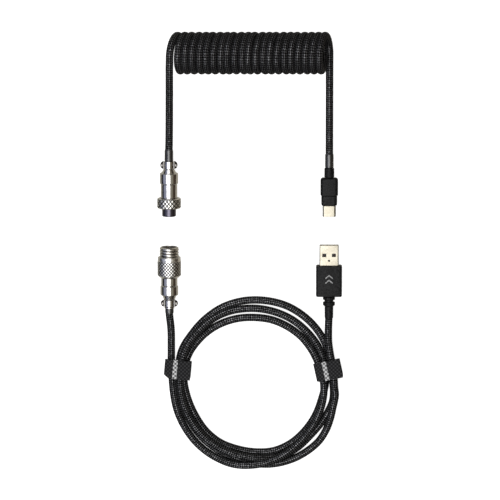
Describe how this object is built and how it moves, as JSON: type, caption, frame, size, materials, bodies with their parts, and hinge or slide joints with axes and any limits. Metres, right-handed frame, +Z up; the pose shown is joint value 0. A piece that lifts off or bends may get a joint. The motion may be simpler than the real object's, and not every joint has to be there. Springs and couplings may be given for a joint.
{
  "type": "two-piece coiled usb cable",
  "caption": "Coiled USB cable split by a round threaded connector, with a USB-C plug on the coiled part and a USB-A plug on the wound part.",
  "frame": {"origin": "on the table, under the middle of the box round the plugs, socket and straps, with the cords left out", "axes": "+Z up from the table; +Y along the aviator and USB axes, from the ring of cord towards the curly cord; +X to the right, across the curly cord's axis ends"},
  "size_m": [0.1172, 0.279, 0.0266],
  "materials": {
    "plated": "bright nickel plate, knurled where gripped",
    "contact_gold": "gold-plated contact",
    "pale_gold_steel": "pale gold-plated steel",
    "insulator": "smooth black insulator",
    "moulding": "satin black moulding",
    "heat_shrink": "matt black heat shrink",
    "braid": "black braided sleeve over a rubber-jacketed cord",
    "hook_and_loop": "black hook-and-loop tape"
  },
  "bodies": {
    "cable_set": {"socket_threaded_shell": "plated", "socket_insert": "insulator", "socket_pin_1": "contact_gold", "socket_pin_2": "contact_gold", "socket_pin_3": "contact_gold", "socket_pin_4": "contact_gold", "socket_knurled_barrel": "plated", "socket_body_tube": "plated", "socket_rear_shell": "plated", "socket_clamp_base": "plated", "socket_clamp_saddle": "plated", "socket_clamp_screw_left": "plated", "socket_clamp_screw_right": "plated", "socket_cable_grommet": "plated", "socket_heat_shrink": "heat_shrink", "usb_a_shell": "pale_gold_steel", "usb_a_tongue": "insulator", "usb_a_contact_1": "contact_gold", "usb_a_contact_2": "contact_gold", "usb_a_contact_3": "contact_gold", "usb_a_contact_4": "contact_gold", "usb_a_overmold": "moulding", "usb_a_strain_relief": "moulding", "coil": "braid", "lead_plug": "braid", "ring_coil": "braid", "lead_socket": "braid", "lead_usb_a": "braid", "strap_left_band": "hook_and_loop", "strap_right_band": "hook_and_loop"},
    "aviator_plug": {"plug_insert": "insulator", "plug_contact_1": "contact_gold", "plug_contact_2": "contact_gold", "plug_contact_3": "contact_gold", "plug_contact_4": "contact_gold", "plug_front_tube": "plated", "plug_rear_shell": "plated", "plug_clamp_base": "plated", "plug_clamp_saddle": "plated", "plug_clamp_screw_left": "plated", "plug_clamp_screw_right": "plated", "plug_heat_shrink": "heat_shrink"},
    "coupling_nut": {"coupling_nut": "plated"},
    "usb_c_end": {"usb_c_shell": "pale_gold_steel", "usb_c_contact_carrier": "insulator", "usb_c_front_cap": "moulding", "usb_c_overmold": "moulding", "usb_c_collar": "moulding", "usb_c_heat_shrink": "heat_shrink", "lead_usb_c": "braid"},
    "strap_left_tab": {"strap_left_tab": "hook_and_loop"},
    "strap_right_tab": {"strap_right_tab": "hook_and_loop"}
  },
  "joints": [
    {"name": "plug_into_socket", "type": "slide", "parent": "cable_set", "child": "aviator_plug", "axis": [0, -1, 0], "range_m": [0, 0.0272], "deforming": ["lead_plug"]},
    {"name": "nut_spin", "type": "hinge", "parent": "aviator_plug", "child": "coupling_nut", "pos_m": [-0.0512, 0.0402, 0.00745], "axis": [0, 1, 0], "continuous": true},
    {"name": "coil_stretch", "type": "slide", "parent": "cable_set", "child": "usb_c_end", "axis": [1, 0, 0], "range_m": [0, 0.15], "stiffness_N_per_m": 8, "deforming": ["coil"]},
    {"name": "peel_left_tab", "type": "hinge", "parent": "cable_set", "child": "strap_left_tab", "pos_m": [-0.03775, -0.06613, 0.0115], "axis": [0.1132, 0.9936, 0], "range_deg": [0, 100]},
    {"name": "peel_right_tab", "type": "hinge", "parent": "cable_set", "child": "strap_right_tab", "pos_m": [0.05701, -0.06413, 0.0115], "axis": [-0.2164, 0.9763, 0], "range_deg": [0, 100]}
  ]
}
